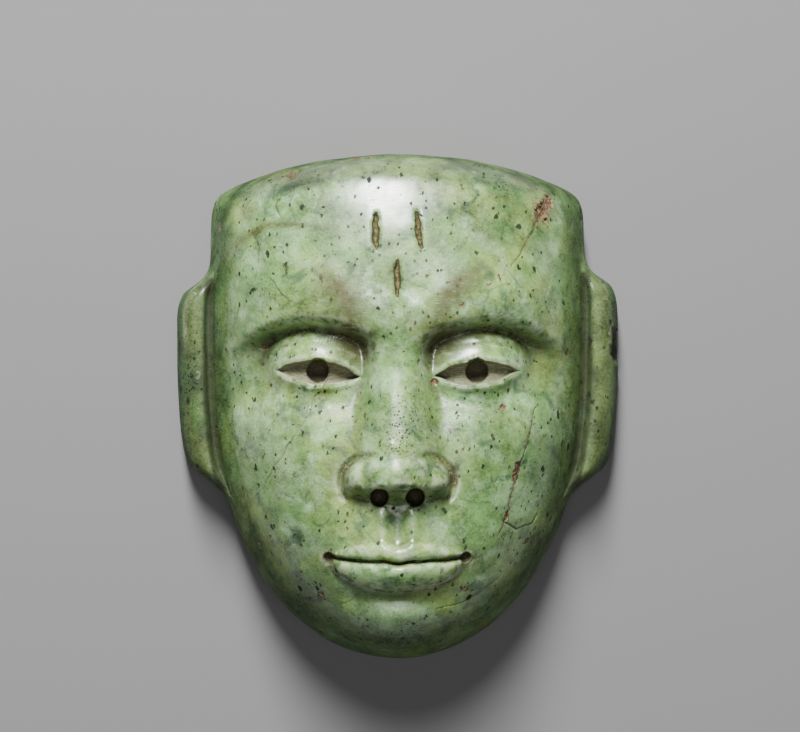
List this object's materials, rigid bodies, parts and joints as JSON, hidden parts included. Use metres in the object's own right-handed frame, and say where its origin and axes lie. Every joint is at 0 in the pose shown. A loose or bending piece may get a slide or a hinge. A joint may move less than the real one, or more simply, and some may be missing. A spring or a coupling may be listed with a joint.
{
  "type": "miniature mask",
  "caption": "Miniature stone mask of a calm face with drilled eyes, ear flanges at the sides and a hollowed back; lies face up on its rim.",
  "frame": {"origin": "middle of the back, on the plane of the rim that the mask lies on", "axes": "+X to the right of someone looking at the face, +Y from the chin to the top edge, +Z out of the face and up"},
  "size_m": [0.0706, 0.08, 0.0361],
  "materials": {
    "greenstone": "polished, mottled and flecked green stone with brown stain in its pits and cracks"
  },
  "bodies": {
    "root": {"mask": "greenstone"}
  },
  "joints": []
}
